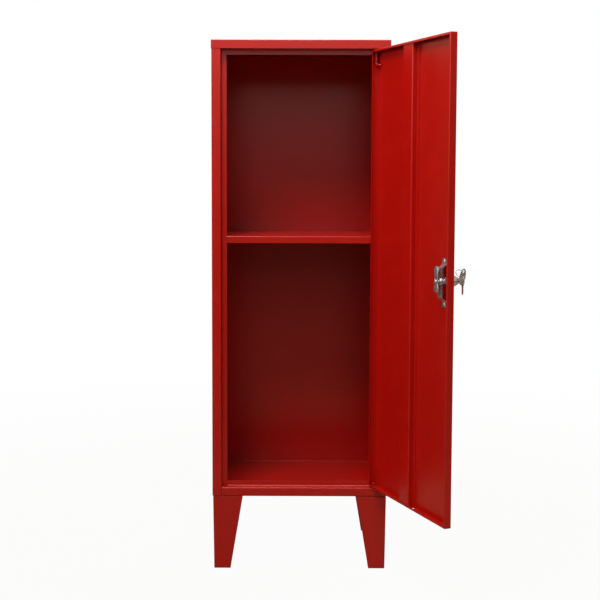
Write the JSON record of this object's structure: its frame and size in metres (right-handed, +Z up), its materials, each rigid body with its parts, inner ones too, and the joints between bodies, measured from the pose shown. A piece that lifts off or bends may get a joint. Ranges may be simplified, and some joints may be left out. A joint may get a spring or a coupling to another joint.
{
  "type": "metal locker",
  "caption": "Red sheet-metal locker on tapered legs: hinged door with stiffener and sprung upper pin, cam lock with key, ring and spare key, clip-held shelf.",
  "frame": {"origin": "on the floor, below the middle of the carcass", "axes": "+Z up, the front faces -Y, the door hangs at +X; the door stands open by 112 degrees at rest, as in the picture"},
  "size_m": [0.6165, 0.7431, 1.38],
  "materials": {
    "powder_coat": "semi-gloss red powder coat",
    "zinc": "bright zinc plate",
    "nickel": "bright nickel plate",
    "spring_steel": "oiled spring wire",
    "nylon": "moulded black nylon"
  },
  "bodies": {
    "carcass": {"left_side_panel": "powder_coat", "right_side_panel": "powder_coat", "back_panel": "powder_coat", "top_cap": "powder_coat", "top_rail": "powder_coat", "bottom_rail": "powder_coat", "bottom_panel": "powder_coat", "shelf": "powder_coat", "shelf_clip_front_left": "zinc", "shelf_clip_front_right": "zinc", "shelf_clip_rear_left": "zinc", "shelf_clip_rear_right": "zinc", "leg_front_left": "powder_coat", "leg_front_right": "powder_coat", "leg_rear_left": "powder_coat", "leg_rear_right": "powder_coat", "leg_bolt_front_left_1": "zinc", "leg_bolt_front_left_2": "zinc", "leg_bolt_front_right_1": "zinc", "leg_bolt_front_right_2": "zinc", "leg_bolt_rear_left_1": "zinc", "leg_bolt_rear_left_2": "zinc", "leg_bolt_rear_right_1": "zinc", "leg_bolt_rear_right_2": "zinc", "cap_screw_front_left": "zinc", "cap_screw_front_right": "zinc", "cap_screw_rear_left": "zinc", "cap_screw_rear_right": "zinc", "back_screw_left_1": "zinc", "back_screw_left_2": "zinc", "back_screw_left_3": "zinc", "back_screw_right_1": "zinc", "back_screw_right_2": "zinc", "back_screw_right_3": "zinc", "bottom_hinge_pin": "zinc", "top_hinge_bush": "nylon"},
    "door": {"door_pan": "powder_coat", "door_stiffener": "powder_coat", "bottom_hinge_bush": "nylon", "hinge_pin_spring": "spring_steel", "hinge_pin_guide": "zinc", "lock_body": "nickel", "lock_nut": "zinc", "lock_strap": "nickel"},
    "top_pin": {"top_hinge_pin": "zinc", "hinge_pin_clip": "spring_steel"},
    "lock_core": {"lock_plug": "nickel", "lock_cam": "nickel", "cam_screw": "nickel"},
    "key": {"key": "nickel"},
    "key_ring": {"key_ring": "nickel"},
    "spare_key": {"spare_key": "nickel"}
  },
  "joints": [
    {"name": "door_hinge", "type": "hinge", "parent": "carcass", "child": "door", "pos_m": [0.1939, -0.1814, 0.788], "axis": [0, 0, 1], "range_deg": [-112, 2]},
    {"name": "top_pin_slide", "type": "slide", "parent": "door", "child": "top_pin", "axis": [0, 0, -1], "range_m": [0, 0.012], "stiffness_N_per_m": 400, "springref_m": -0.012, "deforming": ["hinge_pin_spring"]},
    {"name": "lock_turn", "type": "hinge", "parent": "door", "child": "lock_core", "pos_m": [0.32644, -0.50944, 0.7915], "axis": [0.9272, 0.3746, 0], "range_deg": [0, 90]},
    {"name": "key_pull", "type": "slide", "parent": "lock_core", "child": "key", "axis": [0.9272, 0.3746, 0], "range_m": [0, 0.024]},
    {"name": "key_ring_swing", "type": "hinge", "parent": "key", "child": "key_ring", "pos_m": [0.37752, -0.4888, 0.813], "axis": [0.9272, 0.3746, 0], "range_deg": [-60, 0]},
    {"name": "spare_key_swing", "type": "hinge", "parent": "key_ring", "child": "spare_key", "pos_m": [0.37344, -0.50538, 0.80053], "axis": [0.9272, 0.3746, 0], "range_deg": [-45, 8]}
  ]
}
